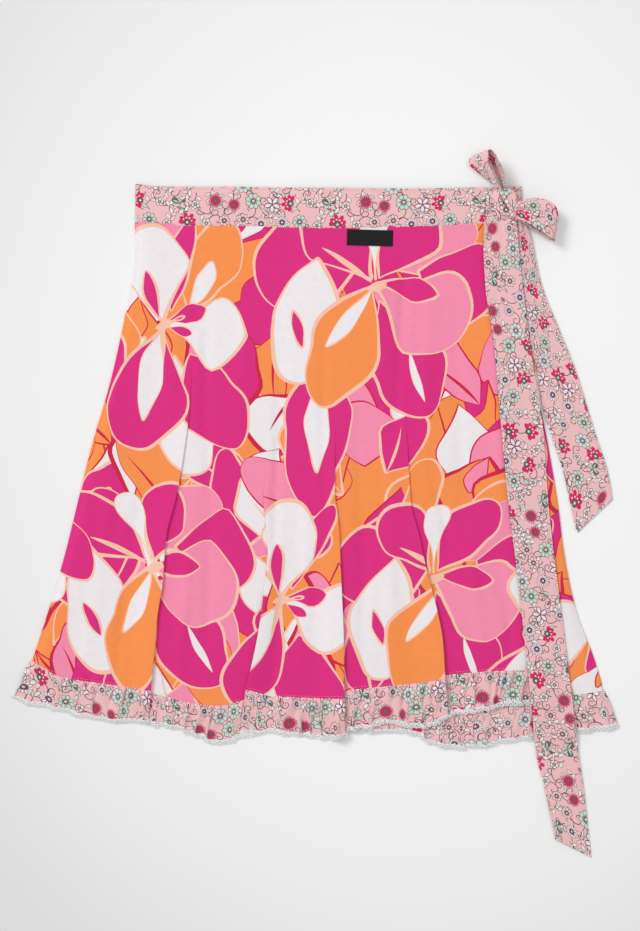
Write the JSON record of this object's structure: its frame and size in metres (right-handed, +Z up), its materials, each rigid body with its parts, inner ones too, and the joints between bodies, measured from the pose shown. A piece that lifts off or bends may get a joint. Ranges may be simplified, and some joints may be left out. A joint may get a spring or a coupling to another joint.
{
  "type": "wrap skirt",
  "caption": "Flared wrap skirt lying flat, with a waistband tied in a bow at the side, a gathered ruffle hem and a narrow lace edge.",
  "frame": {"origin": "the surface the skirt lies on, under the middle of its bounding box", "axes": "+X to the right of the skirt as seen from above, +Y towards the waistband, +Z up"},
  "size_m": [0.5976, 0.7081, 0.0263],
  "materials": {
    "large_flower_print": "smooth light cloth with a large flower print in magenta, orange, pink and off-white",
    "small_flower_print": "matt light cloth, pink with a small scattered flower print",
    "white_lace": "narrow white looped lace edging",
    "black_woven_tape": "plain black woven tape, blank"
  },
  "bodies": {
    "root": {"back_panel": "large_flower_print", "under_wrap_panel": "large_flower_print", "over_wrap_panel": "large_flower_print", "waistband_back": "small_flower_print", "waistband_under": "small_flower_print", "waistband_over": "small_flower_print", "ruffle_back": "small_flower_print", "ruffle_under": "small_flower_print", "ruffle_over": "small_flower_print", "lace_trim_back": "white_lace", "lace_trim_under": "white_lace", "lace_trim_over": "white_lace", "tie_tail_long": "small_flower_print", "tie_tail_short": "small_flower_print", "bow_loop_upper": "small_flower_print", "bow_loop_right": "small_flower_print", "bow_knot": "small_flower_print", "woven_label": "black_woven_tape"}
  },
  "joints": []
}
